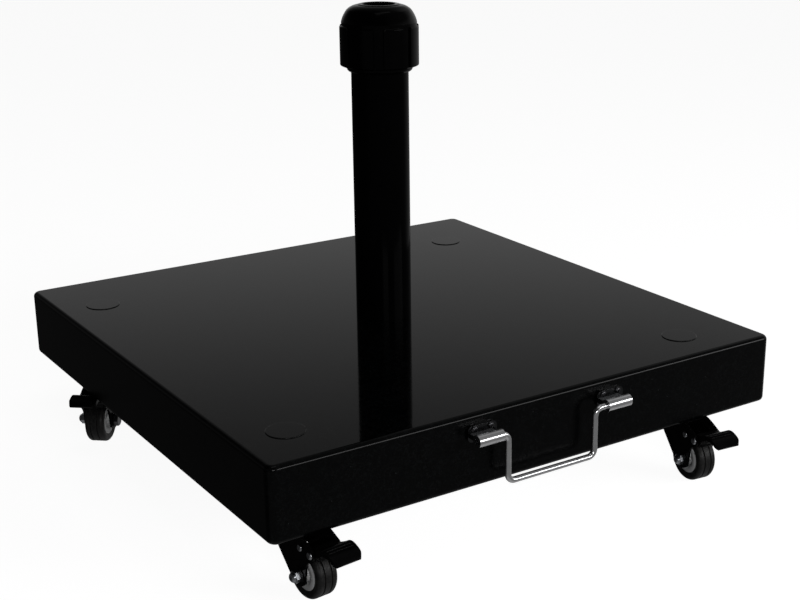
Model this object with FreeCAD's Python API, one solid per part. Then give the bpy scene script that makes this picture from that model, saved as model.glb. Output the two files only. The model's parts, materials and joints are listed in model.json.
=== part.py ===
"""Wheeled granite parasol base with a clamped pole tube and a drop handle.

Frame: millimetres, +Z up, origin on the pole's axis at floor level.
-Y is the front, where the handle hangs. Left and right are as seen from the front.
"""

import math
import os

import FreeCAD
import Part

V = FreeCAD.Vector
X_AXIS = V(1, 0, 0)
Y_AXIS = V(0, 1, 0)
Z_AXIS = V(0, 0, 1)

# ---- driving dimensions -------------------------------------------------

SLAB_SIDE = 600.0
SLAB_THICK = 75.0
SLAB_CORNER_R = 9.0
SLAB_ARRIS_R = 5.0

CASTOR_HEIGHT = 75.0
# where each castor's bolt goes through the slab; the holes are not a true rectangle
CASTOR_PLACES = {
    "front_left": (-249.0, -236.0),
    "front_right": (217.5, -246.5),
    "rear_left": (-250.0, 203.0),
    "rear_right": (221.0, 204.0),
}
WHEEL_R = 25.0
WHEEL_WIDTH = 22.0
CASTOR_TRAIL = 36.0
# the way each castor trails at rest, in degrees from +X
CASTOR_YAW = {
    "front_left": 276.0,
    "front_right": 264.0,
    "rear_left": 230.0,
    "rear_right": 64.0,
}
# how far each pedal's tip stands above its middle position, in degrees
PEDAL_LIFT = {
    "front_left": -2.0,
    "front_right": 0.0,
    "rear_left": 8.0,
    "rear_right": 0.0,
}

TUBE_R = 30.6
TUBE_WALL = 2.0
TUBE_TOP_ABOVE_SLAB = 302.0
POLE_BORE_R = 16.5

HANDLE_STANDOFF = 14.0
HANDLE_DROP_BELOW_TOP = 21.3
BAIL_WIRE_R = 3.1
BAIL_HALF_WIDTH = 52.4
BAIL_DROP = 49.3
BAIL_BEND_R = 7.5
BAIL_SIDE_PLAY = -3.2
BARREL_INNER_END = 62.8
BARREL_OUTER_END = 91.6
HANDLE_X = -2.2
BARREL_R = 6.0

RUNNING_GAP = 0.05
LOOSE_GAP = 0.3

# ---- places that follow from them ---------------------------------------

SLAB_BOTTOM = CASTOR_HEIGHT
SLAB_TOP = SLAB_BOTTOM + SLAB_THICK
SLAB_HALF = SLAB_SIDE / 2
FRONT_FACE_Y = -SLAB_HALF
TUBE_TOP = SLAB_TOP + TUBE_TOP_ABOVE_SLAB
TUBE_BORE_R = TUBE_R - TUBE_WALL
HANDLE_Y = FRONT_FACE_Y - HANDLE_STANDOFF
HANDLE_Z = SLAB_TOP - HANDLE_DROP_BELOW_TOP


def castor_centre(name):
    """Where the castor's swivel axis meets the floor."""
    return V(*CASTOR_PLACES[name], 0)


# ---- building blocks ----------------------------------------------------


def outline_edges(points, place):
    """Edges of a closed outline. A plain point is reached by a straight line;
    ("arc", through, end) is reached by an arc. place turns a pair into a vector."""
    edges = []
    start = place(points[0])
    for item in list(points[1:]) + [points[0]]:
        if item[0] == "arc":
            end = place(item[2])
            edges.append(Part.Arc(start, place(item[1]), end).toShape())
        else:
            end = place(item)
            if end.distanceToPoint(start) < 1e-6:
                continue
            edges.append(Part.LineSegment(start, end).toShape())
        start = end
    return edges


def face_of(points, place):
    return Part.Face(Part.Wire(outline_edges(points, place)))


def turned(points, z_shift=0.0):
    """Solid of revolution about Z from (radius, height) points."""
    face = face_of(points, lambda p: V(p[0], 0, p[1] + z_shift))
    return face.revolve(V(0, 0, 0), Z_AXIS, 360)


def turned_about_y(points):
    """Solid of revolution about Y from (radius, y) points."""
    face = face_of(points, lambda p: V(p[0], p[1], 0))
    return face.revolve(V(0, 0, 0), Y_AXIS, 360)


def side_plate(points, y_from, y_to):
    """Outline in the XZ plane, as (x, z) points, extruded along Y."""
    face = face_of(points, lambda p: V(p[0], y_from, p[1]))
    return face.extrude(V(0, y_to - y_from, 0))


def plan_plate(points, z_from, z_to):
    """Outline in the XY plane, as (x, y) points, extruded along Z."""
    face = face_of(points, lambda p: V(p[0], p[1], z_from))
    return face.extrude(V(0, 0, z_to - z_from))


def rod(radius, start, end):
    """Cylinder from one point to another."""
    way = end - start
    return Part.makeCylinder(radius, way.Length, start, way)


def tube(outer_r, inner_r, start, end):
    return rod(outer_r, start, end).cut(rod(inner_r, start, end))


def hexagon(across_flats, start, end):
    """Hexagonal prism from one point to another."""
    way = end - start
    corner_r = across_flats / math.sqrt(3)
    corners = []
    for step in range(6):
        angle = math.radians(60 * step)
        corners.append(V(corner_r * math.cos(angle), corner_r * math.sin(angle), 0))
    corners.append(corners[0])
    prism = Part.Face(Part.makePolygon(corners)).extrude(V(0, 0, way.Length))
    chamfer = turned(
        [
            (0, 0),
            (across_flats * 0.5, 0),
            (across_flats * 0.62, across_flats * 0.07),
            (across_flats * 0.62, way.Length - across_flats * 0.07),
            (across_flats * 0.5, way.Length),
            (0, way.Length),
        ]
    )
    prism = prism.common(chamfer)
    prism.Placement = FreeCAD.Placement(start, FreeCAD.Rotation(Z_AXIS, way))
    return prism


def rounded_box(x0, x1, y0, y1, z0, z1, radius, along):
    """Box whose four edges that run along the given axis are rounded."""
    box = Part.makeBox(x1 - x0, y1 - y0, z1 - z0, V(x0, y0, z0))
    chosen = []
    for edge in box.Edges:
        way = edge.tangentAt(edge.FirstParameter)
        if abs(way.dot(along)) > 0.9:
            chosen.append(edge)
    return box.makeFillet(radius, chosen)


def edges_at_height(shape, height):
    """Edges that lie in one horizontal plane."""
    return [
        edge
        for edge in shape.Edges
        if abs(edge.BoundBox.ZMin - height) < 1e-4 and abs(edge.BoundBox.ZMax - height) < 1e-4
    ]


def moved(shape, offset):
    copy = shape.copy()
    copy.translate(offset)
    return copy


def mirrored_x(shape):
    return shape.mirror(V(0, 0, 0), X_AXIS)


def united(shapes):
    whole = shapes[0].multiFuse(shapes[1:]) if len(shapes) > 1 else shapes[0]
    return whole.removeSplitter()


def ring_of(shape, count, first_deg=0.0):
    """Copies of a shape spaced evenly about Z."""
    copies = []
    for step in range(count):
        copy = shape.copy()
        copy.rotate(V(0, 0, 0), Z_AXIS, first_deg + 360.0 * step / count)
        copies.append(copy)
    return copies


# ---- slab, covers and the bolts through it ------------------------------

COUNTERBORE_R = 15.0
COUNTERBORE_DEPTH = 22.0
CASTOR_BOLT_R = 4.9
CASTOR_BOLT_HOLE_R = 5.5
CENTRE_BOLT_R = 7.9
CENTRE_BOLT_HOLE_R = 9.0
CENTRE_COUNTERBORE_R = 20.0
CENTRE_COUNTERBORE_DEPTH = 16.0
COVER_R = 18.6
COVER_RISE = 0.8
COVER_EDGE = 0.5
ANCHOR_R = 4.5
ANCHOR_DEPTH = 38.0
HANDLE_SCREW_R = 2.4
HANDLE_SCREW_OFFSETS = (68.0, 86.5)
HANDLE_SCREW_Z = HANDLE_Z + 7.6


def handle_screw_places():
    """(x, z) of the four handle screws on the front face."""
    return [(HANDLE_X + side * x, HANDLE_SCREW_Z) for side in (-1, 1) for x in HANDLE_SCREW_OFFSETS]


def granite_slab():
    slab = rounded_box(
        -SLAB_HALF, SLAB_HALF, -SLAB_HALF, SLAB_HALF, SLAB_BOTTOM, SLAB_TOP, SLAB_CORNER_R, Z_AXIS
    )
    arrises = edges_at_height(slab, SLAB_TOP) + edges_at_height(slab, SLAB_BOTTOM)
    slab = slab.makeFillet(SLAB_ARRIS_R, arrises)
    holes = []
    for name in CASTOR_PLACES:
        centre = castor_centre(name)
        floor = SLAB_TOP - COUNTERBORE_DEPTH
        holes.append(rod(CASTOR_BOLT_HOLE_R, centre + V(0, 0, SLAB_BOTTOM - 1), centre + V(0, 0, floor + 1)))
        holes.append(rod(COUNTERBORE_R, centre + V(0, 0, floor), centre + V(0, 0, SLAB_TOP + 1)))
    roof = SLAB_BOTTOM + CENTRE_COUNTERBORE_DEPTH
    holes.append(rod(CENTRE_BOLT_HOLE_R, V(0, 0, roof - 1), V(0, 0, SLAB_TOP + 1)))
    holes.append(rod(CENTRE_COUNTERBORE_R, V(0, 0, SLAB_BOTTOM - 1), V(0, 0, roof)))
    for x, z in handle_screw_places():
        holes.append(rod(ANCHOR_R, V(x, FRONT_FACE_Y - 1, z), V(x, FRONT_FACE_Y + ANCHOR_DEPTH, z)))
    for hole in holes:
        slab = slab.cut(hole)
    return slab


def bolt_cover():
    """Round cap with a hollow spigot that plugs a counterbore."""
    spigot_r = COUNTERBORE_R - 0.1
    return turned(
        [
            (0, COVER_RISE),
            (COVER_R - COVER_EDGE, COVER_RISE),
            ("arc", (COVER_R - 0.3 * COVER_EDGE, COVER_RISE - 0.3 * COVER_EDGE), (COVER_R, COVER_RISE - COVER_EDGE)),
            (COVER_R, 0),
            (spigot_r, 0),
            (spigot_r, -7.5),
            (spigot_r - 1.5, -8.0),
            (spigot_r - 1.8, -0.2),
            (0, -0.2),
        ],
        SLAB_TOP,
    )


def bolt_covers():
    return [moved(bolt_cover(), castor_centre(name)) for name in CASTOR_PLACES]


SWIVEL_SPINDLE_FOOT = 58.5
CASTOR_NUT_Z = SLAB_TOP - COUNTERBORE_DEPTH


def castor_bolts():
    """M10 bolts, head under each swivel, up through the slab."""
    bolts = []
    for name in CASTOR_PLACES:
        centre = castor_centre(name)
        shank = rod(CASTOR_BOLT_R, centre + V(0, 0, SWIVEL_SPINDLE_FOOT - 1), centre + V(0, 0, CASTOR_NUT_Z + 12.5))
        head = hexagon(16, centre + V(0, 0, SWIVEL_SPINDLE_FOOT - 6.4), centre + V(0, 0, SWIVEL_SPINDLE_FOOT))
        bolts.append(united([shank, head]))
    return bolts


def castor_washers():
    return [
        tube(
            13.5,
            5.2,
            castor_centre(name) + V(0, 0, CASTOR_NUT_Z),
            castor_centre(name) + V(0, 0, CASTOR_NUT_Z + 2),
        )
        for name in CASTOR_PLACES
    ]


def castor_nuts():
    nuts = []
    for name in CASTOR_PLACES:
        centre = castor_centre(name)
        low = centre + V(0, 0, CASTOR_NUT_Z + 2)
        high = centre + V(0, 0, CASTOR_NUT_Z + 10.4)
        nuts.append(hexagon(17, low, high).cut(rod(CASTOR_BOLT_R + 0.02, low, high)))
    return nuts


# ---- pole tube ----------------------------------------------------------

FOOT_DISC_THICK = 12.0
GUIDE_LENGTH = 28.0


def stand_tube():
    return tube(TUBE_R, TUBE_BORE_R, V(0, 0, SLAB_TOP), V(0, 0, TUBE_TOP))


def tube_foot():
    """Disc welded inside the tube's lower end, threaded for the centre bolt."""
    low = V(0, 0, SLAB_TOP)
    return tube(TUBE_BORE_R, CENTRE_BOLT_R + 0.02, low, V(0, 0, SLAB_TOP + FOOT_DISC_THICK))


def centre_washer():
    roof = SLAB_BOTTOM + CENTRE_COUNTERBORE_DEPTH
    return tube(17.0, CENTRE_BOLT_R + 0.3, V(0, 0, roof - 3), V(0, 0, roof))


def centre_bolt():
    roof = SLAB_BOTTOM + CENTRE_COUNTERBORE_DEPTH
    head = hexagon(24, V(0, 0, roof - 13), V(0, 0, roof - 3))
    shank = rod(CENTRE_BOLT_R, V(0, 0, roof - 4), V(0, 0, SLAB_TOP + FOOT_DISC_THICK - 1))
    return united([head, shank])


def pole_guide():
    """Moulded bush that centres the pole just above the foot: two sleeves and a floor."""
    low = SLAB_TOP + FOOT_DISC_THICK
    high = low + GUIDE_LENGTH
    body = turned(
        [
            (POLE_BORE_R, low),
            (TUBE_BORE_R - 0.1, low),
            (TUBE_BORE_R - 0.1, high - 4),
            (TUBE_BORE_R - 2.6, high - 4),
            (TUBE_BORE_R - 2.6, low + 4),
            (POLE_BORE_R + 3, low + 4),
            (POLE_BORE_R + 3, high),
            (POLE_BORE_R + 2.2, high),
            (POLE_BORE_R, high - 5),
        ]
    )
    ribs = ring_of(Part.makeBox(9.0, 2.0, GUIDE_LENGTH - 9, V(POLE_BORE_R + 1.5, -1, low + 2)), 6)
    return united([body] + ribs)


# ---- clamp on top of the tube -------------------------------------------

COLLAR_R = 35.2
COLLAR_LIP = 420.4
COLLAR_TOP = TUBE_TOP + 15.0
COLLAR_SCREW_Z = TUBE_TOP - 12.0
THREAD_R = 36.0
THREAD_PITCH = 4.0
NUT_BORE_R = THREAD_R + LOOSE_GAP
NUT_LOW = 426.0
NUT_SHOULDER = 472.0
NUT_TOP = 490.6
NUT_BODY_R = 40.0
NUT_PAD_R = 42.1
NUT_MOUTH_R = POLE_BORE_R + 0.4
PAD_LOW = 427.0
PAD_HIGH = 469.0
PAD_COUNT = 8
PAD_SPAN_DEG = 30.0
PAD_FIRST_DEG = -10.0


def clamp_collar():
    """Threaded collar on the tube's top, with a rounded lower lip and a conical seat."""
    body = turned(
        [
            (TUBE_R + 0.05, COLLAR_LIP),
            (TUBE_R + 1.3, COLLAR_LIP),
            ("arc", (TUBE_R + 3.6, COLLAR_LIP + 1.5), (COLLAR_R, COLLAR_LIP + 4.2)),
            (COLLAR_R, COLLAR_TOP - 1),
            (COLLAR_R - 1, COLLAR_TOP),
            (28.6, COLLAR_TOP),
            (24.0, TUBE_TOP + 4),
            (24.0, TUBE_TOP),
            (TUBE_R + 0.05, TUBE_TOP),
        ]
    )
    ridges = []
    for turn in range(5):
        low = TUBE_TOP - 5 + turn * THREAD_PITCH
        ridges.append(
            turned([(COLLAR_R - 0.5, low), (COLLAR_R - 0.5, low + 2.6), (THREAD_R, low + 1.8), (THREAD_R, low + 0.8)])
        )
    body = united([body] + ridges)
    for hole in ring_of(rod(2.1, V(20, 0, COLLAR_SCREW_Z), V(50, 0, COLLAR_SCREW_Z)), 3, 30):
        body = body.cut(hole)
    return body


def collar_screws():
    """Three grub screws that hold the collar to the tube, flush with its side."""
    z = COLLAR_SCREW_Z
    screw = rod(2.05, V(TUBE_R + 0.05, 0, z), V(COLLAR_R - 0.6, 0, z))
    socket = hexagon(2.5, V(COLLAR_R - 2.4, 0, z), V(COLLAR_R, 0, z))
    return ring_of(screw.cut(socket), 3, 30)


COLLET_R = 28.0
COLLET_LOW = TUBE_TOP + 3.0
COLLET_TOP = 483.5
CONE_TOP_R = POLE_BORE_R + 4.9
CONE_FOOT_Z = COLLET_TOP - (COLLET_R - CONE_TOP_R)


def collet():
    """Slotted clamping cone: the nut drives it down into the collar's seat."""
    ring = turned(
        [
            (POLE_BORE_R, COLLET_LOW),
            (22.2, COLLET_LOW),
            (COLLET_R, COLLAR_TOP - 0.2),
            (COLLET_R, CONE_FOOT_Z),
            (CONE_TOP_R, COLLET_TOP),
            (POLE_BORE_R + 1.0, COLLET_TOP),
            (POLE_BORE_R, COLLET_TOP - 1.0),
        ]
    )
    slot = Part.makeBox(20, 2.0, COLLET_TOP - COLLET_LOW - 8, V(POLE_BORE_R - 2, -1.0, COLLET_LOW - 1))
    for cutter in ring_of(slot, 8, 22.5):
        ring = ring.cut(cutter)
    return ring


def slip_ring():
    """Nylon ring between the nut's inner cone and the collet's shoulder."""
    foot_r = COLLET_R - 0.5
    rise = 4.5
    return turned(
        [
            (foot_r, CONE_FOOT_Z + 0.5),
            (foot_r, CONE_FOOT_Z + 2.2),
            (foot_r - rise, CONE_FOOT_Z + 2.2 + rise),
            (foot_r - rise, CONE_FOOT_Z + 0.5 + rise),
        ]
    )


def clamp_nut():
    """Domed nut with grip pads round its skirt and an open mouth for the pole."""
    cone_r = COLLET_R + 2.0
    cone_z = CONE_FOOT_Z + 0.12
    shell = turned(
        [
            (NUT_BORE_R + 0.9, NUT_LOW),
            (NUT_BODY_R - 1.2, NUT_LOW),
            (NUT_BODY_R, NUT_LOW + 1.2),
            (NUT_BODY_R, NUT_SHOULDER),
            ("arc", (37.7, 478.6), (33.8, 484.8)),
            ("arc", (29.5, 487.8), (23.2, 489.6)),
            ("arc", (19.6, NUT_TOP), (NUT_MOUTH_R + 0.6, NUT_TOP - 0.4)),
            (NUT_MOUTH_R, NUT_TOP - 1.2),
            (NUT_MOUTH_R, NUT_TOP - 3.6),
            (cone_r - 9.0, NUT_TOP - 3.6),
            (cone_r - 9.0, cone_z + 9.0),
            (cone_r, cone_z),
            (32.0, COLLAR_TOP + 1.5),
            (NUT_BORE_R, COLLAR_TOP + 1.5),
            (NUT_BORE_R, NUT_LOW + 0.9),
        ]
    )
    return united([shell] + grip_pads())


def grip_pads():
    """Rounded pads round the skirt, a little proud of it."""
    half_chord = NUT_PAD_R * math.sin(math.radians(PAD_SPAN_DEG / 2))
    band = turned(
        [
            (NUT_BORE_R + 1.5, PAD_LOW),
            (NUT_PAD_R - 0.8, PAD_LOW),
            (NUT_PAD_R, PAD_LOW + 0.9),
            (NUT_PAD_R, PAD_HIGH - 1.8),
            ("arc", (NUT_PAD_R - 0.45, PAD_HIGH - 0.5), (NUT_PAD_R - 1.6, PAD_HIGH)),
            (NUT_BORE_R + 1.5, PAD_HIGH),
        ]
    )
    window = rounded_box(30, 50, -half_chord, half_chord, PAD_LOW - 0.1, PAD_HIGH + 0.1, 3.0, X_AXIS)
    pad = band.common(window)
    return ring_of(pad, PAD_COUNT, PAD_FIRST_DEG)


# ---- handle -------------------------------------------------------------

BRACKET_THICK = 2.5
BRACKET_LOW = HANDLE_Z - 5.5
BRACKET_HIGH = HANDLE_Z + 11.0


def handle_bracket():
    """Right bracket: foot plate on the slab, web and the barrel that holds the bail's end."""
    plate = rounded_box(
        BARREL_INNER_END - 2,
        BARREL_OUTER_END + 2,
        FRONT_FACE_Y - BRACKET_THICK,
        FRONT_FACE_Y,
        BRACKET_LOW,
        BRACKET_HIGH,
        5.0,
        Y_AXIS,
    )
    web = Part.makeBox(
        BARREL_OUTER_END - BARREL_INNER_END - 4,
        HANDLE_STANDOFF - BRACKET_THICK - 2,
        5.0,
        V(BARREL_INNER_END + 2, HANDLE_Y + 2, HANDLE_Z - 2.5),
    )
    start = V(BARREL_INNER_END, HANDLE_Y, HANDLE_Z)
    end = V(BARREL_OUTER_END, HANDLE_Y, HANDLE_Z)
    body = united([plate, web, rod(BARREL_R, start, end)])
    body = body.cut(rod(BAIL_WIRE_R + RUNNING_GAP, start - V(1, 0, 0), end + V(1, 0, 0)))
    for x in HANDLE_SCREW_OFFSETS:
        hole_from = V(x, FRONT_FACE_Y - BRACKET_THICK - 1, HANDLE_SCREW_Z)
        body = body.cut(rod(HANDLE_SCREW_R + 0.2, hole_from, V(x, FRONT_FACE_Y + 1, HANDLE_SCREW_Z)))
    return body


def handle_screws():
    """Pan-head screws through the foot plates into the anchors."""
    screws = []
    for x, z in handle_screw_places():
        face = V(x, FRONT_FACE_Y - BRACKET_THICK, z)
        shank = rod(HANDLE_SCREW_R, face, face + V(0, 30, 0))
        dome = turned([(0, 0), (3.3, 0), ("arc", (2.7, 1.5), (0, 2.1))])
        dome.Placement = FreeCAD.Placement(face, FreeCAD.Rotation(Z_AXIS, V(0, -1, 0)))
        recess = hexagon(2.5, face - V(0, 3.5, 0), face - V(0, 0.7, 0))
        screws.append(united([shank, dome]).cut(recess))
    return screws


def handle_anchors():
    """Sleeves set in the stone behind the screws."""
    anchors = []
    for x, z in handle_screw_places():
        start = V(x, FRONT_FACE_Y + 0.5, z)
        end = V(x, FRONT_FACE_Y + ANCHOR_DEPTH - 2, z)
        anchors.append(tube(ANCHOR_R, HANDLE_SCREW_R + 0.02, start, end))
    return anchors


def handle_bail():
    """Bent round wire, hanging from the two barrels."""
    low = HANDLE_Z - BAIL_DROP
    tip = BARREL_OUTER_END - 14.0
    bend = BAIL_BEND_R
    inner = bend * (1 - math.sqrt(0.5))
    half = BAIL_HALF_WIDTH

    def at(x, z):
        return V(x, HANDLE_Y, z)

    edges = []
    for side in (-1, 1):
        outer_start = at(side * tip, HANDLE_Z)
        top_bend_start = at(side * (half + bend), HANDLE_Z)
        top_bend_mid = at(side * (half + inner), HANDLE_Z - inner)
        top_bend_end = at(side * half, HANDLE_Z - bend)
        low_bend_start = at(side * half, low + bend)
        low_bend_mid = at(side * (half - inner), low + inner)
        low_bend_end = at(side * (half - bend), low)
        arm = [
            Part.LineSegment(outer_start, top_bend_start).toShape(),
            Part.Arc(top_bend_start, top_bend_mid, top_bend_end).toShape(),
            Part.LineSegment(top_bend_end, low_bend_start).toShape(),
            Part.Arc(low_bend_start, low_bend_mid, low_bend_end).toShape(),
        ]
        edges.append(arm)
    bar = Part.LineSegment(at(-(half - bend), low), at(half - bend, low)).toShape()
    path = Part.Wire(edges[0] + [bar] + list(reversed(edges[1])))
    section = Part.Wire(Part.makeCircle(BAIL_WIRE_R, at(-tip, HANDLE_Z), X_AXIS))
    return moved(path.makePipeShell([section], True, True), V(HANDLE_X + BAIL_SIDE_PLAY, 0, 0))


# ---- castor, in its own frame -------------------------------------------
# local +X is the way the wheel trails, local +Y runs along the axle,
# and the swivel axis stands on the origin

CROWN_TOP = 67.0
CROWN_THICK = 3.0
CROWN_R = 20.0
MOUNT_UNDERSIDE = 72.5
SPINDLE_R = 7.0
LEG_INNER = 13.4
LEG_THICK = 2.4
LEG_OUTER = LEG_INNER + LEG_THICK
AXLE_R = 4.0
BALL_R = 2.6
BALL_RING_R = 13.5
PEDAL_PIVOT = (54.5, 52.0)
PEDAL_PIN_R = 2.5
STOP_RIVET = (41.0, 55.0)
TYRE_BORE_R = 16.5


def swivel_mount():
    """Pressed cup and hollow spindle, clamped up against the slab."""
    return turned(
        [
            (5.2, SWIVEL_SPINDLE_FOOT),
            (9.5, SWIVEL_SPINDLE_FOOT),
            (9.5, SWIVEL_SPINDLE_FOOT + 2),
            (SPINDLE_R, SWIVEL_SPINDLE_FOOT + 2.6),
            (SPINDLE_R, MOUNT_UNDERSIDE),
            (21.3, MOUNT_UNDERSIDE),
            (21.3, 68.6),
            (23.0, 68.6),
            (23.0, CASTOR_HEIGHT - 1.5),
            ("arc", (22.56, CASTOR_HEIGHT - 0.44), (21.5, CASTOR_HEIGHT)),
            (5.2, CASTOR_HEIGHT),
        ]
    )


def swivel_balls():
    ball = Part.makeSphere(BALL_R, V(BALL_RING_R, 0, (CROWN_TOP + MOUNT_UNDERSIDE) / 2))
    return ring_of(ball, 12)


def fork():
    """Pressed fork: crown under the ball race, hood over the wheel and two tapering legs."""
    side_view = [
        (-14.0, CROWN_TOP),
        (-14.0, 62.0),
        (1.5, 46.0),
        (25.0, 19.2),
        ("arc", (35.5, 14.4), (45.4, 20.2)),
        (47.0, 34.0),
        ("arc", (50.0, 41.6), (57.2, 46.2)),
        ("arc", (60.0, 51.5), (56.0, 58.6)),
        (47.0, 62.8),
        (38.5, 66.2),
        (34.0, CROWN_TOP),
    ]
    body = side_plate(side_view, -LEG_OUTER, LEG_OUTER)
    wheel_room = side_plate(
        [(-20, 0), (70, 0), (70, 80), (33, 80), (33, CROWN_TOP - CROWN_THICK), (-20, CROWN_TOP - CROWN_THICK)],
        -LEG_INNER,
        LEG_INNER,
    )
    body = body.cut(wheel_room)
    crown = rod(CROWN_R, V(0, 0, CROWN_TOP - CROWN_THICK), V(0, 0, CROWN_TOP))
    rib = side_plate([(-14.0, 62.0), (-11.5, 62.0), (3.5, 46.5), (2.3, 45.1)], -LEG_OUTER, LEG_OUTER)
    boss_pads = []
    for side in (-1, 1):
        pad = rod(8.5, V(CASTOR_TRAIL, side * LEG_INNER, WHEEL_R), V(CASTOR_TRAIL, side * (LEG_OUTER + 0.8), WHEEL_R))
        boss_pads.append(pad)
        x, z = STOP_RIVET
        boss_pads.append(rod(3.0, V(x, side * (LEG_INNER - 1), z), V(x, side * (LEG_OUTER + 1.3), z)))
    body = united([body, crown, rib] + boss_pads)
    body = body.cut(rod(SPINDLE_R + 0.08, V(0, 0, 50), V(0, 0, 80)))
    body = body.cut(rod(10.2, V(0, 0, 50), V(0, 0, CROWN_TOP - CROWN_THICK)))
    axle_hole = rod(AXLE_R + 0.02, V(CASTOR_TRAIL, -30, WHEEL_R), V(CASTOR_TRAIL, 30, WHEEL_R))
    pin_hole = rod(PEDAL_PIN_R + 0.02, V(PEDAL_PIVOT[0], -30, PEDAL_PIVOT[1]), V(PEDAL_PIVOT[0], 30, PEDAL_PIVOT[1]))
    return body.cut(axle_hole).cut(pin_hole)


def axle_bolt():
    seat = LEG_OUTER + 0.8
    centre = V(CASTOR_TRAIL, 0, WHEEL_R)
    shank = rod(AXLE_R, centre - V(0, seat + 5, 0), centre + V(0, seat + 1, 0))
    head = hexagon(13, centre + V(0, seat, 0), centre + V(0, seat + 5.3, 0))
    return united([shank, head])


def axle_nut():
    """Domed lock nut on the axle bolt's end."""
    seat = LEG_OUTER + 0.8
    centre = V(CASTOR_TRAIL, 0, WHEEL_R)
    flats = hexagon(11, centre - V(0, seat, 0), centre - V(0, seat + 5, 0))
    dome = turned([(0, 0), (5.0, 0), (5.0, 0.6), ("arc", (3.8, 2.6), (0.8, 3.8)), (0, 3.8)])
    dome.Placement = FreeCAD.Placement(centre - V(0, seat + 4.6, 0), FreeCAD.Rotation(Z_AXIS, V(0, -1, 0)))
    bore = rod(AXLE_R + 0.02, centre - V(0, seat - 1, 0), centre - V(0, seat + 5.1, 0))
    return united([flats, dome]).cut(bore)


def wheel_core():
    """Wheel centre: hub, web and rim, turning on the axle."""
    hub_half = LEG_INNER - LOOSE_GAP
    core = turned_about_y(
        [
            (AXLE_R + RUNNING_GAP, -hub_half),
            (6.5, -hub_half),
            (6.9, -9.0),
            (8.0, -7.4),
            (9.2, -9.2),
            ("arc", (13.0, -10.7), (TYRE_BORE_R, -9.6)),
            (TYRE_BORE_R, 9.6),
            ("arc", (13.0, 10.7), (9.2, 9.2)),
            (8.0, 7.4),
            (6.9, 9.0),
            (6.5, hub_half),
            (AXLE_R + RUNNING_GAP, hub_half),
        ]
    )
    core.translate(V(CASTOR_TRAIL, 0, WHEEL_R))
    return core


def tyre():
    """Rubber tyre with two grooves round its tread."""
    half = WHEEL_WIDTH / 2
    groove = 1.3
    side = [
        (TYRE_BORE_R, -9.6),
        (TYRE_BORE_R + 1.0, -half + 0.9),
        (TYRE_BORE_R + 3.5, -half),
        (WHEEL_R - 4.0, -half),
        ("arc", (WHEEL_R - 0.9, -half + 1.6), (WHEEL_R, -half + 4.4)),
        (WHEEL_R, -4.6),
        (WHEEL_R - groove, -4.2),
        (WHEEL_R - groove, -3.4),
        (WHEEL_R, -3.0),
        (WHEEL_R, 3.0),
        (WHEEL_R - groove, 3.4),
        (WHEEL_R - groove, 4.2),
        (WHEEL_R, 4.6),
        (WHEEL_R, half - 4.4),
        ("arc", (WHEEL_R - 0.9, half - 1.6), (WHEEL_R - 4.0, half)),
        (TYRE_BORE_R + 3.5, half),
        (TYRE_BORE_R + 1.0, half - 0.9),
        (TYRE_BORE_R, 9.6),
    ]
    solid = turned_about_y(side)
    solid.translate(V(CASTOR_TRAIL, 0, WHEEL_R))
    return solid


def brake_pedal():
    """Wide pedal on its pin: a neck between the fork's legs and a broad tread beyond them."""
    pivot_x, pivot_z = PEDAL_PIVOT
    side_view = [
        (49.4, 57.6),
        (55.0, 59.4),
        (60.8, 59.8),
        ("arc", (64.4, 60.6), (68.0, 62.8)),
        ("arc", (74.4, 65.4), (81.0, 64.8)),
        ("arc", (88.0, 62.0), (93.4, 57.2)),
        (92.0, 55.4),
        (84.0, 60.4),
        (75.0, 60.8),
        (66.6, 55.4),
        (61.2, 50.0),
        ("arc", (pivot_x, pivot_z - 5.8), (48.8, 51.0)),
    ]
    tread_half = 16.5
    neck_half = LEG_INNER - 0.6
    blank = side_plate(side_view, -tread_half, tread_half)
    plan = [
        (40.0, -neck_half),
        (62.0, -neck_half),
        (65.0, -tread_half),
        (87.0, -tread_half + 1.0),
        ("arc", (91.4, -tread_half + 2.8), (92.9, -tread_half + 7.0)),
        ("arc", (93.5, 0.0), (92.9, tread_half - 7.0)),
        ("arc", (91.4, tread_half - 2.8), (87.0, tread_half - 1.0)),
        (65.0, tread_half),
        (62.0, neck_half),
        (40.0, neck_half),
    ]
    body = blank.common(plan_plate(plan, 40, 80))
    for rib_x, rib_z in ((74.5, 65.8), (78.0, 65.8), (81.5, 65.1)):
        body = body.cut(rod(0.8, V(rib_x, -13.5, rib_z), V(rib_x, 13.5, rib_z)))
    pin_bore = rod(PEDAL_PIN_R + RUNNING_GAP, V(pivot_x, -30, pivot_z), V(pivot_x, 30, pivot_z))
    return body.cut(pin_bore)


def brake_shoe():
    """Steel shoe under the pedal: it swings against the tyre as the pedal is pressed."""
    pivot_x, pivot_z = PEDAL_PIVOT
    blank = side_plate(
        [
            (pivot_x - 3.0, pivot_z - 3.6),
            (pivot_x + 3.4, pivot_z - 3.6),
            (pivot_x + 3.0, pivot_z - 7.4),
            (pivot_x + 0.5, pivot_z - 8.0),
            (pivot_x - 2.6, pivot_z - 6.2),
        ],
        -8.0,
        8.0,
    )
    return blank.cut(brake_pedal())


def pedal_pin():
    """Riveted pin through both legs."""
    x, z = PEDAL_PIVOT
    pin = rod(PEDAL_PIN_R, V(x, -LEG_OUTER - 0.5, z), V(x, LEG_OUTER + 0.5, z))
    heads = []
    for side in (-1, 1):
        dome = turned([(0, 0), (3.8, 0), ("arc", (2.9, 1.3), (0.6, 1.8)), (0, 1.8)])
        dome.Placement = FreeCAD.Placement(V(x, side * LEG_OUTER, z), FreeCAD.Rotation(Z_AXIS, V(0, side, 0)))
        heads.append(dome)
    return united([pin] + heads)


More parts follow.
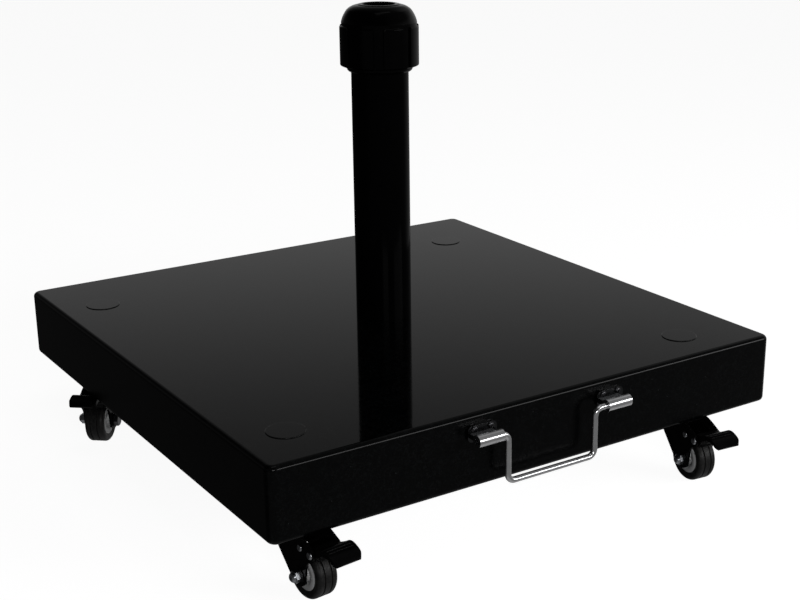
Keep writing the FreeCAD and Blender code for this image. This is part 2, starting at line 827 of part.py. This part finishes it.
CASTOR_PIECES = {
    "swivel_mount": swivel_mount,
    "swivel_balls": swivel_balls,
    "fork": fork,
    "axle_bolt": axle_bolt,
    "axle_nut": axle_nut,
    "wheel_core": wheel_core,
    "tyre": tyre,
    "brake_pedal": brake_pedal,
    "brake_shoe": brake_shoe,
    "pedal_pin": pedal_pin,
}


SWINGS_WITH_PEDAL = ("brake_pedal", "brake_shoe")


def placed_on_castor(shape, piece, name):
    """The piece turned to the castor's resting direction and put under its bolt."""
    copy = shape.copy()
    if piece in SWINGS_WITH_PEDAL:
        copy.rotate(V(PEDAL_PIVOT[0], 0, PEDAL_PIVOT[1]), Y_AXIS, -PEDAL_LIFT[name])
    copy.rotate(V(0, 0, 0), Z_AXIS, CASTOR_YAW[name])
    copy.translate(castor_centre(name))
    return copy


# ---- write the files ----------------------------------------------------


def all_nodes():
    bracket = handle_bracket()
    nodes = {
        "granite_slab": granite_slab(),
        "bolt_covers": bolt_covers(),
        "castor_bolts": castor_bolts(),
        "castor_washers": castor_washers(),
        "castor_nuts": castor_nuts(),
        "stand_tube": stand_tube(),
        "tube_foot": tube_foot(),
        "centre_bolt": centre_bolt(),
        "centre_washer": centre_washer(),
        "pole_guide": pole_guide(),
        "clamp_collar": clamp_collar(),
        "collar_screws": collar_screws(),
        "collet": collet(),
        "slip_ring": slip_ring(),
        "clamp_nut": clamp_nut(),
        "handle_bracket_right": moved(bracket, V(HANDLE_X, 0, 0)),
        "handle_bracket_left": moved(mirrored_x(bracket), V(HANDLE_X, 0, 0)),
        "handle_screws": handle_screws(),
        "handle_anchors": handle_anchors(),
        "handle_bail": handle_bail(),
    }
    for piece, make in CASTOR_PIECES.items():
        made = make()
        for name in CASTOR_PLACES:
            if isinstance(made, list):
                nodes[f"{piece}_{name}"] = [placed_on_castor(one, piece, name) for one in made]
            else:
                nodes[f"{piece}_{name}"] = placed_on_castor(made, piece, name)
    return nodes


def main():
    os.makedirs("parts", exist_ok=True)
    nodes = all_nodes()
    for name, made in nodes.items():
        solids = made if isinstance(made, list) else [made]
        shape = solids[0] if len(solids) == 1 else Part.makeCompound(solids)
        count = len(shape.Solids)
        print(f"{name:28s} solids {count:2d}  volume {shape.Volume / 1000:10.2f} cm3  valid {shape.isValid()}")
        shape.exportStep(f"parts/{name}.step")
    print(len(nodes), "nodes")


main()
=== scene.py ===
"""Wheeled granite parasol base: materials, castor trim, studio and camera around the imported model.

Lengths are in metres, in the row frame: X to the right, Y to the back, Z up from the floor.
"""

import json
import math

import bpy
from mathutils import Matrix, Vector


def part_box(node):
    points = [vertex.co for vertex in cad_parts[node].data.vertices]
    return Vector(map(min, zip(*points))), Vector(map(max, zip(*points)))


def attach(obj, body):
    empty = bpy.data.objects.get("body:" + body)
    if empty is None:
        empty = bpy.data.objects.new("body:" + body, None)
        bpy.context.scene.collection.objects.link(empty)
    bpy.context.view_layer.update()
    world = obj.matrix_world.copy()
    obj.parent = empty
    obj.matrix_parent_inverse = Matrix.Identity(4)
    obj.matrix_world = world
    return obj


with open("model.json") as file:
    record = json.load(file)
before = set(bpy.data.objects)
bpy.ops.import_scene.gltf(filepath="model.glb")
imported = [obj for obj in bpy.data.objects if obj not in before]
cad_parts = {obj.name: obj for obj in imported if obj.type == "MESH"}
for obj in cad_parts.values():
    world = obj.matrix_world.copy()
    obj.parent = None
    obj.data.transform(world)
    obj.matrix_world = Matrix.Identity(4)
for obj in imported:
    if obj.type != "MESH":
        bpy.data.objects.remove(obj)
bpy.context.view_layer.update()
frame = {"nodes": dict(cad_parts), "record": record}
nodes = frame["nodes"]


# ---- shader node building blocks --------------------------------------------


class Nodes:
    """Short calls that add nodes to one shader tree."""

    def __init__(self, tree):
        self.tree = tree
        self.tree.nodes.clear()

    def node(self, kind, **settings):
        made = self.tree.nodes.new(kind)
        for key, value in settings.items():
            setattr(made, key, value)
        return made

    def join(self, out, socket):
        self.tree.links.new(out, socket)

    def fill(self, socket, value):
        """Links another node's output to the socket, or sets a constant."""
        if isinstance(value, bpy.types.NodeSocket):
            self.join(value, socket)
        else:
            socket.default_value = value

    def span(self, value, low, high, to_low=0.0, to_high=1.0, curve="LINEAR"):
        """Carries low..high over to to_low..to_high, held at the ends."""
        made = self.node("ShaderNodeMapRange", interpolation_type=curve)
        self.fill(made.inputs["Value"], value)
        limits = {"From Min": low, "From Max": high, "To Min": to_low, "To Max": to_high}
        for key, number in limits.items():
            made.inputs[key].default_value = number
        return made.outputs["Result"]

    def math(self, kind, a, b=0.0):
        made = self.node("ShaderNodeMath", operation=kind)
        self.fill(made.inputs[0], a)
        self.fill(made.inputs[1], b)
        return made.outputs[0]

    def plus(self, a, b):
        return self.math("ADD", a, b)

    def times(self, a, b):
        return self.math("MULTIPLY", a, b)

    def dot(self, a, b):
        made = self.node("ShaderNodeVectorMath", operation="DOT_PRODUCT")
        self.fill(made.inputs[0], a)
        self.fill(made.inputs[1], b)
        return made.outputs["Value"]

    def part_of(self, vector, axis):
        """One number, X, Y or Z, out of a vector or colour."""
        split = self.node("ShaderNodeSeparateXYZ")
        self.join(vector, split.inputs[0])
        return split.outputs[axis]


class Paint(Nodes):
    """One procedural material: a Principled shader and the textures that feed it."""

    def __init__(self, name, **sockets):
        self.material = bpy.data.materials.new(name)
        self.material.use_nodes = True
        super().__init__(self.material.node_tree)
        self.shader = self.node("ShaderNodeBsdfPrincipled")
        out = self.node("ShaderNodeOutputMaterial")
        self.join(self.shader.outputs["BSDF"], out.inputs["Surface"])
        for key, value in sockets.items():
            self.shader.inputs[key.replace("_", " ")].default_value = value
        place = self.node("ShaderNodeTexCoord")
        self.place = place.outputs["Object"]
        self.outward = place.outputs["Normal"]

    def stretched(self, scale):
        """Object coordinates scaled by (x, y, z)."""
        mapping = self.node("ShaderNodeMapping")
        mapping.inputs["Scale"].default_value = scale
        self.join(self.place, mapping.inputs["Vector"])
        return mapping.outputs["Vector"]

    def shaken(self, size, amount):
        """Object coordinates pushed about by noise, so that cells get ragged outlines."""
        drift = self.node("ShaderNodeTexNoise")
        drift.inputs["Scale"].default_value = 1.0 / size
        drift.inputs["Detail"].default_value = 2.0
        self.join(self.place, drift.inputs["Vector"])
        push = self.node("ShaderNodeVectorMath", operation="MULTIPLY_ADD")
        self.join(drift.outputs["Color"], push.inputs[0])
        push.inputs[1].default_value = (amount, amount, amount)
        self.join(self.place, push.inputs[2])
        return push.outputs[0]

    def noise(self, size, detail=2.0, rough=0.5, distortion=0.0, where=None):
        """Noise whose features are about size metres across, 0 to 1."""
        made = self.node("ShaderNodeTexNoise")
        made.inputs["Scale"].default_value = 1.0 / size
        made.inputs["Detail"].default_value = detail
        made.inputs["Roughness"].default_value = rough
        made.inputs["Distortion"].default_value = distortion
        self.join(where or self.place, made.inputs["Vector"])
        return made.outputs["Fac"]

    def cells(self, size, output="Distance", where=None):
        """Voronoi cells about size metres across."""
        made = self.node("ShaderNodeTexVoronoi", feature="F1")
        made.inputs["Scale"].default_value = 1.0 / size
        self.join(where or self.place, made.inputs["Vector"])
        return made.outputs[output]

    def mix(self, amount, a, b):
        """Colour a where amount is 0, b where it is 1."""
        made = self.node("ShaderNodeMix", data_type="RGBA", blend_type="MIX")
        self.fill(made.inputs["Factor"], amount)
        colours = [s for s in made.inputs if s.type == "RGBA"]
        for socket, value in zip(colours, (a, b)):
            if isinstance(value, tuple):
                value = (*value, 1.0)
            self.fill(socket, value)
        return [s for s in made.outputs if s.type == "RGBA"][0]

    def edges(self, radius):
        """1 on convex and concave edges that the radius reaches, 0 on the flats."""
        bevel = self.node("ShaderNodeBevel", samples=6)
        bevel.inputs["Radius"].default_value = radius
        geometry = self.node("ShaderNodeNewGeometry")
        return self.span(self.dot(bevel.outputs["Normal"], geometry.outputs["Normal"]), 0.99, 0.80)

    def bump(self, height, depth, strength, after=None):
        made = self.node("ShaderNodeBump")
        made.inputs["Strength"].default_value = strength
        made.inputs["Distance"].default_value = depth
        self.join(height, made.inputs["Height"])
        if after is not None:
            self.join(after, made.inputs["Normal"])
        return made.outputs["Normal"]

    def colour(self, value):
        self.join(value, self.shader.inputs["Base Color"])

    def roughness(self, value):
        self.join(value, self.shader.inputs["Roughness"])

    def normal(self, value):
        self.join(value, self.shader.inputs["Normal"])


# ---- the materials ----------------------------------------------------------


def granite():
    """Near-black granite, polished on top and honed on its sides: dark crystals and a few grey flecks."""
    small_grain, large_grain, fleck_grain = 0.0011, 0.0031, 0.0047
    p = Paint("polished_granite", Specular_IOR_Level=0.12)
    ragged = p.shaken(small_grain, 0.0009)
    small = p.part_of(p.cells(small_grain, "Color", ragged), "X")
    large = p.part_of(p.cells(large_grain, "Color", ragged), "Y")
    clouds = p.noise(0.035, 4.0, 0.62, 0.6)
    tone = p.plus(p.times(small, 0.55), p.times(large, 0.45))
    crystals = p.times(p.span(tone, 0.42, 0.95), p.span(clouds, 0.32, 0.68, 0.35, 1.0))
    body = p.mix(crystals, (0.0006, 0.0007, 0.0008), (0.0058, 0.0064, 0.0068))
    chosen = p.span(p.part_of(p.cells(fleck_grain, "Color"), "Z"), 0.955, 0.975)
    flecks = p.times(chosen, p.span(p.cells(fleck_grain), 0.16, 0.06))
    p.colour(p.mix(flecks, body, (0.030, 0.032, 0.034)))
    upright = p.math("ABSOLUTE", p.part_of(p.outward, "Z"))
    honed = p.span(upright, 0.25, 0.05, 0.0, 0.19)
    haze = p.noise(0.09, 5.0, 0.65, 0.9)
    polish = p.plus(p.span(haze, 0.32, 0.72, 0.012, 0.050), p.times(small, 0.03))
    p.roughness(p.plus(polish, honed))
    ripple = p.noise(0.009, 3.0, 0.6, 0.5, p.stretched((1.0, 0.45, 1.0)))
    p.normal(p.bump(tone, 0.000008, 0.35, after=p.bump(ripple, 0.00003, 0.35)))
    return p.material


def tube_lacquer():
    """Gloss black stove enamel with its slight orange peel."""
    p = Paint("black_lacquered_tube", Specular_IOR_Level=0.02)
    peel = p.noise(0.0016)
    broad = p.noise(0.035, 3.0, 0.6)
    p.colour(p.mix(broad, (0.0008, 0.0008, 0.0009), (0.0022, 0.0022, 0.0024)))
    p.roughness(p.plus(p.span(broad, 0.3, 0.7, 0.07, 0.15), p.times(peel, 0.03)))
    p.normal(p.bump(peel, 0.00002, 0.4))
    return p.material


def moulded_plastic(name, base, light, rough, grain, specular, wear=0.0, depth=0.00003):
    """Injection-moulded plastic with a fine spark texture; wear rubs its edges paler and smoother."""
    p = Paint(name, Specular_IOR_Level=specular)
    spark = p.noise(grain, 2.0, 0.6)
    flow = p.noise(0.012, 3.0, 0.55, 0.4)
    body = p.mix(p.span(flow, 0.3, 0.75), base, light)
    body = p.mix(p.span(spark, 0.45, 0.8, 0.0, 0.35), body, light)
    flow_gloss = p.span(flow, 0.3, 0.75, rough - 0.04, rough + 0.05)
    gloss = p.plus(flow_gloss, p.span(spark, 0.3, 0.8, 0.0, 0.05))
    if wear > 0.0:
        wear_and_highlight = p.times(p.edges(0.0009), p.span(p.noise(0.004, 3.0), 0.4, 0.7))
        paler = tuple(3.0 * c + 0.02 for c in light)
        body = p.mix(p.times(wear_and_highlight, wear), body, paler)
        gloss = p.math("SUBTRACT", gloss, p.times(wear_and_highlight, 0.06))
    p.colour(body)
    p.roughness(gloss)
    p.normal(p.bump(spark, depth, 0.5))
    return p.material


def cover_plastic():
    """Smooth black caps, polished on top and rougher round the side, which is painted paler grey as a rim
    highlight.
    """
    p = Paint("black_cap_plastic", Specular_IOR_Level=0.125)
    mottle = p.noise(0.0011, 3.0, 0.6)
    broad = p.noise(0.012, 3.0, 0.55, 0.4)
    body = p.mix(p.span(mottle, 0.35, 0.7), (0.0010, 0.0010, 0.0011), (0.0045, 0.0046, 0.0048))
    side = p.span(p.part_of(p.outward, "Z"), 0.90, 0.30)
    # painted highlight: the side wall is painted paler grey than the top, standing in for light on the cap's
    # rim
    wear_and_highlight = p.times(side, p.span(mottle, 0.2, 0.8, 0.6, 1.0))
    p.colour(p.mix(wear_and_highlight, body, (0.020, 0.0202, 0.0204)))
    p.roughness(p.plus(p.span(broad, 0.3, 0.75, 0.02, 0.05), p.times(side, 0.25)))
    p.normal(p.bump(mottle, 0.000006, 0.3))
    return p.material


def painted_metal():
    """Black-lacquered pressed steel, rubbed a little at its edges."""
    p = Paint("black_castor_metal", Specular_IOR_Level=0.05)
    peel = p.noise(0.0009, 2.0, 0.55)
    broad = p.noise(0.010, 4.0, 0.6)
    wear_and_highlight = p.times(p.edges(0.0006), p.span(p.noise(0.003, 3.0, 0.6), 0.50, 0.62))
    body = p.mix(broad, (0.0012, 0.0012, 0.0014), (0.0045, 0.0045, 0.0048))
    p.colour(p.mix(p.times(wear_and_highlight, 0.7), body, (0.09, 0.09, 0.095)))
    p.join(p.times(wear_and_highlight, 0.6), p.shader.inputs["Metallic"])
    p.roughness(p.plus(p.span(broad, 0.3, 0.7, 0.16, 0.30), p.times(peel, 0.05)))
    p.normal(p.bump(peel, 0.00003, 0.5))
    return p.material


def tyre():
    """Dark rubber, greyer in patches of dust and painted sheen, with a fine grain."""
    p = Paint("tyre_rubber", Specular_IOR_Level=0.25)
    grain = p.noise(0.0005, 3.0, 0.65)
    dust_and_sheen = p.noise(0.0035, 5.0, 0.7, 0.5)
    # partly dust and partly painted sheen: the grey patches on the tread also stand in for light caught on
    # the rubber
    body = p.mix(p.span(dust_and_sheen, 0.42, 0.72), (0.0070, 0.0070, 0.0072), (0.030, 0.029, 0.028))
    p.colour(p.mix(p.times(p.edges(0.0007), 0.5), body, (0.05, 0.049, 0.047)))
    p.roughness(p.span(dust_and_sheen, 0.35, 0.75, 0.38, 0.60))
    p.normal(p.bump(grain, 0.00006, 0.6))
    return p.material


def polished_steel(name, blackened=None):
    """Stainless steel polished along its length; blackened gives the two Y between which it turns dark."""
    p = Paint(name, Metallic=1.0)
    drawn = p.noise(0.0004, 2.0, 0.6, 0.0, p.stretched((0.06, 1.0, 1.0)))
    spots = p.noise(0.009, 4.0, 0.6)
    metal = p.mix(p.span(spots, 0.35, 0.75), (0.80, 0.80, 0.81), (0.66, 0.665, 0.68))
    if blackened is not None:
        dark = p.span(p.part_of(p.place, "Y"), *blackened)
        metal = p.mix(dark, metal, (0.055, 0.056, 0.058))
    p.colour(metal)
    p.roughness(p.plus(p.span(spots, 0.3, 0.7, 0.12, 0.20), p.span(drawn, 0.3, 0.8, 0.0, 0.08)))
    p.normal(p.bump(drawn, 0.00001, 0.35))
    return p.material


def plated_steel(name, bright, dull, low, high):
    """Zinc-plated or bearing steel, its roughness mottled between low and high."""
    p = Paint(name, Metallic=1.0)
    spangle = p.noise(0.0018, 4.0, 0.65, 0.4)
    fine = p.noise(0.0004, 2.0, 0.6)
    p.colour(p.mix(p.span(spangle, 0.35, 0.7), bright, dull))
    p.roughness(p.plus(p.span(spangle, 0.3, 0.75, low, high), p.times(fine, 0.05)))
    p.normal(p.bump(fine, 0.00001, 0.5))
    return p.material


looks = {
    "polished_granite": granite(),
    "black_lacquered_tube": tube_lacquer(),
    "black_cap_plastic": cover_plastic(),
    "black_clamp_plastic": moulded_plastic(
        "black_clamp_plastic",
        base=(0.0003, 0.0003, 0.0004),
        light=(0.0011, 0.0011, 0.0012),
        rough=0.10,
        grain=0.0005,
        specular=0.06,
        wear=0.2,
        depth=0.000008,
    ),
    "grey_nylon": moulded_plastic(
        "grey_nylon",
        base=(0.020, 0.020, 0.021),
        light=(0.034, 0.034, 0.035),
        rough=0.38,
        grain=0.0006,
        specular=0.3,
    ),
    "bright_steel": polished_steel("bright_steel"),
    "dark_steel": plated_steel("dark_steel", (0.10, 0.10, 0.105), (0.06, 0.06, 0.065), 0.22, 0.36),
    "black_castor_metal": painted_metal(),
    "tyre_rubber": tyre(),
    "wheel_plastic": moulded_plastic(
        "wheel_plastic",
        base=(0.80, 0.805, 0.81),
        light=(0.92, 0.925, 0.93),
        rough=0.34,
        grain=0.0005,
        specular=0.4,
    ),
    "pedal_plastic": moulded_plastic(
        "pedal_plastic",
        base=(0.0007, 0.0007, 0.0008),
        light=(0.0024, 0.0024, 0.0026),
        rough=0.24,
        grain=0.0005,
        specular=0.07,
        wear=0.3,
    ),
    "zinc_steel": plated_steel("zinc_steel", (0.42, 0.43, 0.45), (0.27, 0.28, 0.30), 0.20, 0.34),
    "ball_steel": plated_steel("ball_steel", (0.62, 0.62, 0.63), (0.52, 0.52, 0.53), 0.10, 0.18),
}


def dress(node, look):
    """Gives one CAD node its material."""
    materials = nodes[node].data.materials
    materials.clear()
    materials.append(look)


for row in frame["record"]["subparts"]:
    dress(row["node"], looks[row["material_slot"]])

# the brackets' barrels are polished and the plates behind them are blackened: depths from the barrels' front
BRIGHT_TO = 0.0115
BLACK_FROM = 0.0130
bracket_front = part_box("handle_bracket_right")[0].y
bracket_look = polished_steel("bracket_steel", (bracket_front + BRIGHT_TO, bracket_front + BLACK_FROM))
for side in ("right", "left"):
    dress("handle_bracket_" + side, bracket_look)


# ---- castor trim: stop rivets and the skirt between the fork's legs ---------

CORNERS = ("front_left", "front_right", "rear_left", "rear_right")

# places in a castor: x from the swivel axis towards the wheel, y along the axle, z up from the floor
RIVET_X = 0.0410
RIVET_Z = 0.0550
RIVET_SEAT = 0.0169

# a rivet head as (radius, rise above its seat), from the rim to the hollow at the middle
RIVET_PROFILE = (
    (0.0034, 0.0),
    (0.0034, 0.0004),
    (0.0031, 0.0009),
    (0.0024, 0.0014),
    (0.0014, 0.00165),
    (0.0009, 0.0016),
    (0.0005, 0.0013),
)
RIVET_SIDES = 28

# the skirt's section as (x, z), from its upper edge down to the lower one
SKIRT_LINE = (
    (-0.0120, 0.0645),
    (-0.0124, 0.0626),
    (-0.0112, 0.0606),
    (-0.0085, 0.0575),
    (-0.0040, 0.0530),
    (0.0005, 0.0484),
    (0.0045, 0.0440),
    (0.0080, 0.0400),
    (0.0095, 0.0386),
)
SKIRT_HALF = 0.0136
SKIRT_THICK = 0.0016
SKIRT_DISH = 0.0012
SKIRT_STEPS = 10

SWIVEL = "castor_swivel_"
castor_axes = {}
for joint in frame["record"]["behaviour"]["joints"]:
    if joint["name"].startswith(SWIVEL):
        castor_axes[joint["name"][len(SWIVEL):]] = Vector(joint["pos_m"])


def castor_place(corner):
    """A call that carries a place in one castor, (x, y, z), into the row frame."""
    low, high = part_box("wheel_core_" + corner)
    foot = castor_axes[corner].copy()
    foot.z = 0.0
    forward = (low + high) / 2 - foot
    forward.z = 0.0
    forward.normalize()
    across = Vector((-forward.y, forward.x, 0.0))
    return lambda x, y, z: foot + forward * x + across * y + Vector((0.0, 0.0, z))


def castor_trim(name, corner, vertices, faces, look):
    """One new piece that turns with a castor's fork."""
    mesh = bpy.data.meshes.new(name)
    mesh.from_pydata([tuple(v) for v in vertices], [], faces)
    mesh.materials.append(looks[look])
    piece = bpy.data.objects.new(name, mesh)
    bpy.context.scene.collection.objects.link(piece)
    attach(piece, "castor_" + corner)
    return mesh


def stop_rivets(corner):
    """The two peened heads of the stop rivet, each closed at its seat and hollowed at its middle."""
    place = castor_place(corner)
    vertices, faces = [], []
    for way in (1, -1):
        rings = []
        for radius, rise in RIVET_PROFILE:
            rings.append(len(vertices))
            for k in range(RIVET_SIDES):
                angle = way * 2.0 * math.pi * k / RIVET_SIDES
                x = RIVET_X - radius * math.cos(angle)
                z = RIVET_Z + radius * math.sin(angle)
                vertices.append(place(x, way * (RIVET_SEAT + rise), z))
        for low, high in zip(rings, rings[1:]):
            for k in range(RIVET_SIDES):
                after = (k + 1) % RIVET_SIDES
                faces.append((low + k, low + after, high + after, high + k))
        faces.append(tuple(rings[0] + k for k in reversed(range(RIVET_SIDES))))
        faces.append(tuple(rings[-1] + k for k in range(RIVET_SIDES)))
    castor_trim("stop_rivet_" + corner, corner, vertices, faces, "zinc_steel").shade_smooth()


def fork_skirt(corner):
    """The pressed skirt that closes the fork behind the wheel, dished a little towards its middle."""
    place = castor_place(corner)
    vertices, faces = [], []
    last = len(SKIRT_LINE) - 1
    for shell in (0, 1):
        for n, (x, z) in enumerate(SKIRT_LINE):
            before, after = SKIRT_LINE[max(n - 1, 0)], SKIRT_LINE[min(n + 1, last)]
            run, fall = after[0] - before[0], after[1] - before[1]
            length = math.hypot(run, fall)
            for k in range(SKIRT_STEPS + 1):
                y = SKIRT_HALF * (2.0 * k / SKIRT_STEPS - 1.0)
                dish = SKIRT_DISH * (1.0 - (y / SKIRT_HALF) ** 2) * math.sin(math.pi * n / last)
                off = shell * SKIRT_THICK + dish
                vertices.append(place(x - off * fall / length, y, z + off * run / length))
    width = SKIRT_STEPS + 1
    count = len(SKIRT_LINE) * width
    for n in range(last):
        for k in range(SKIRT_STEPS):
            a = n * width + k
            faces.append((a, a + 1, a + width + 1, a + width))
            faces.append((count + a, count + a + width, count + a + width + 1, count + a + 1))
    # the narrow faces that join the two shells, once round the outline
    upper_edge = list(range(width))
    far_side = [n * width + SKIRT_STEPS for n in range(1, last + 1)]
    lower_edge = [last * width + k for k in reversed(range(SKIRT_STEPS))]
    near_side = [n * width for n in reversed(range(1, last))]
    rim = upper_edge + far_side + lower_edge + near_side
    for a, b in zip(rim, rim[1:] + rim[:1]):
        faces.append((b, a, count + a, count + b))
    castor_trim("fork_skirt_" + corner, corner, vertices, faces, "black_castor_metal")


for corner in CORNERS:
    stop_rivets(corner)
    fork_skirt(corner)
    dress("axle_bolt_" + corner, looks["dark_steel"])


# ---- the view: the studio and the camera are set out from it ----------------

VIEW_AZIMUTH = math.radians(-34.47)
VIEW_ELEVATION = math.radians(18.04)
LEVEL_BACK = Vector((math.sin(VIEW_AZIMUTH), -math.cos(VIEW_AZIMUTH), 0.0))
BACK = LEVEL_BACK * math.cos(VIEW_ELEVATION) + Vector((0.0, 0.0, math.sin(VIEW_ELEVATION)))
RIGHT = Vector((math.cos(VIEW_AZIMUTH), math.sin(VIEW_AZIMUTH), 0.0))
UP = BACK.cross(RIGHT)


# ---- studio -----------------------------------------------------------------

WHITE = (1.0, 1.0, 1.0, 1.0)


def studio_floor():
    """A pale floor that glows evenly for the camera; the room and the lamps light the object."""
    bpy.ops.mesh.primitive_plane_add(size=40.0, location=(0, 0, 0))
    floor = bpy.context.object
    floor.name = "studio_floor"
    ground = Paint("studio_floor", Specular_IOR_Level=0.0, Roughness=0.9)
    ground.colour(ground.mix(ground.noise(0.6, 3.0), (0.46, 0.46, 0.46), (0.50, 0.50, 0.50)))
    ground.shader.inputs["Emission Color"].default_value = WHITE
    ground.shader.inputs["Emission Strength"].default_value = 0.93
    floor.data.materials.append(ground.material)
    floor.visible_glossy = False
    floor.visible_diffuse = False


def studio_room():
    """The grey room that gloss and polish reflect; the camera itself sees white paper."""
    world = bpy.data.worlds.new("studio")
    bpy.context.scene.world = world
    world.use_nodes = True
    w = Nodes(world.node_tree)
    direction = w.node("ShaderNodeTexCoord").outputs["Generated"]
    height = w.part_of(direction, "Z")

    def soft(value, low, high, to_low, to_high):
        return w.span(value, low, high, to_low, to_high, "SMOOTHSTEP")

    # walls: palest near the floor, and dim on the left
    towards_right = soft(w.part_of(direction, "X"), -0.25, 0.30, 0.15, 1.0)
    walls = w.times(soft(height, 0.20, 0.45, 0.60, 0.20), towards_right)

    # floor: grey, paler straight below and dark behind on the left
    far_left = (-0.566, 0.824, 0.0)
    ground = soft(height, -0.75, -0.45, 0.38, 0.20)
    ground = w.times(ground, soft(w.dot(direction, far_left), 0.25, 0.65, 1.0, 0.15))

    # a tall pale panel behind the object to the right: the rim light of the tube and the nut
    panel_right = soft(w.dot(direction, RIGHT), 0.15, 0.45, 0.0, 0.28)
    panel_behind = soft(w.dot(direction, -LEVEL_BACK), 0.25, 0.60, 0.0, 1.0)

    above = soft(height, -0.03, 0.03, 0.0, 1.0)
    below = w.math("SUBTRACT", 1.0, above)
    glow = w.plus(w.times(above, walls), w.times(below, ground))
    glow = w.plus(glow, w.times(panel_right, panel_behind))

    # little of it falls on matt surfaces, which the lamps light
    path = w.node("ShaderNodeLightPath")
    onto_matt = w.math("SUBTRACT", 1.0, w.times(path.outputs["Is Diffuse Ray"], 0.85))
    room = w.node("ShaderNodeBackground")
    w.join(w.times(glow, onto_matt), room.inputs["Strength"])
    paper = w.node("ShaderNodeBackground")
    paper.inputs["Strength"].default_value = 1.0
    paper.inputs["Color"].default_value = WHITE
    either = w.node("ShaderNodeMixShader")
    w.join(path.outputs["Is Camera Ray"], either.inputs[0])
    w.join(room.outputs[0], either.inputs[1])
    w.join(paper.outputs[0], either.inputs[2])
    w.join(either.outputs[0], w.node("ShaderNodeOutputWorld").inputs["Surface"])


def softbox(name, place, target, size, watts):
    """A rectangular lamp at place, aimed at target; the camera doesn't see it."""
    lamp = bpy.data.lights.new(name, "AREA")
    lamp.shape = "RECTANGLE"
    lamp.size, lamp.size_y = size
    lamp.energy = watts
    thing = bpy.data.objects.new(name, lamp)
    bpy.context.scene.collection.objects.link(thing)
    aim = (Vector(target) - Vector(place)).to_track_quat("-Z", "Y")
    thing.matrix_world = Matrix.Translation(place) @ aim.to_matrix().to_4x4()
    thing.visible_camera = False


studio_floor()
studio_room()
softbox("key_right", (1.35, -2.0, 0.80), (0, 0, 0.12), (1.7, 0.45), 14.0)
softbox("front_low", (-1.0, -2.5, 0.85), (0, 0, 0.08), (1.0, 0.5), 11.0)
softbox("overhead", (0.0, -0.6, 3.2), (0, 0, 0.15), (2.0, 1.2), 5.0)


# ---- camera -----------------------------------------------------------------

LENS_MM = 64.31
SENSOR_MM = 36.0
SHIFT = -0.0725

# the eye from the middle of the slab's top: to the right, up and back along the view
EYE_RIGHT = 0.0830
EYE_UP = 0.0134
EYE_BACK = 1.6017

camera_data = bpy.data.cameras.new("camera")
camera_data.sensor_width = SENSOR_MM
camera_data.lens = LENS_MM
camera_data.shift_x = SHIFT
camera_data.clip_start = 0.01
camera = bpy.data.objects.new("camera", camera_data)
bpy.context.scene.collection.objects.link(camera)
slab_top = Vector((0.0, 0.0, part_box("granite_slab")[1].z))
eye = slab_top + RIGHT * EYE_RIGHT + UP * EYE_UP + BACK * EYE_BACK
turn = Matrix((RIGHT, UP, BACK)).transposed().to_4x4()
camera.matrix_world = Matrix.Translation(eye) @ turn
bpy.context.scene.camera = camera
bpy.context.scene.view_settings.view_transform = "Standard"
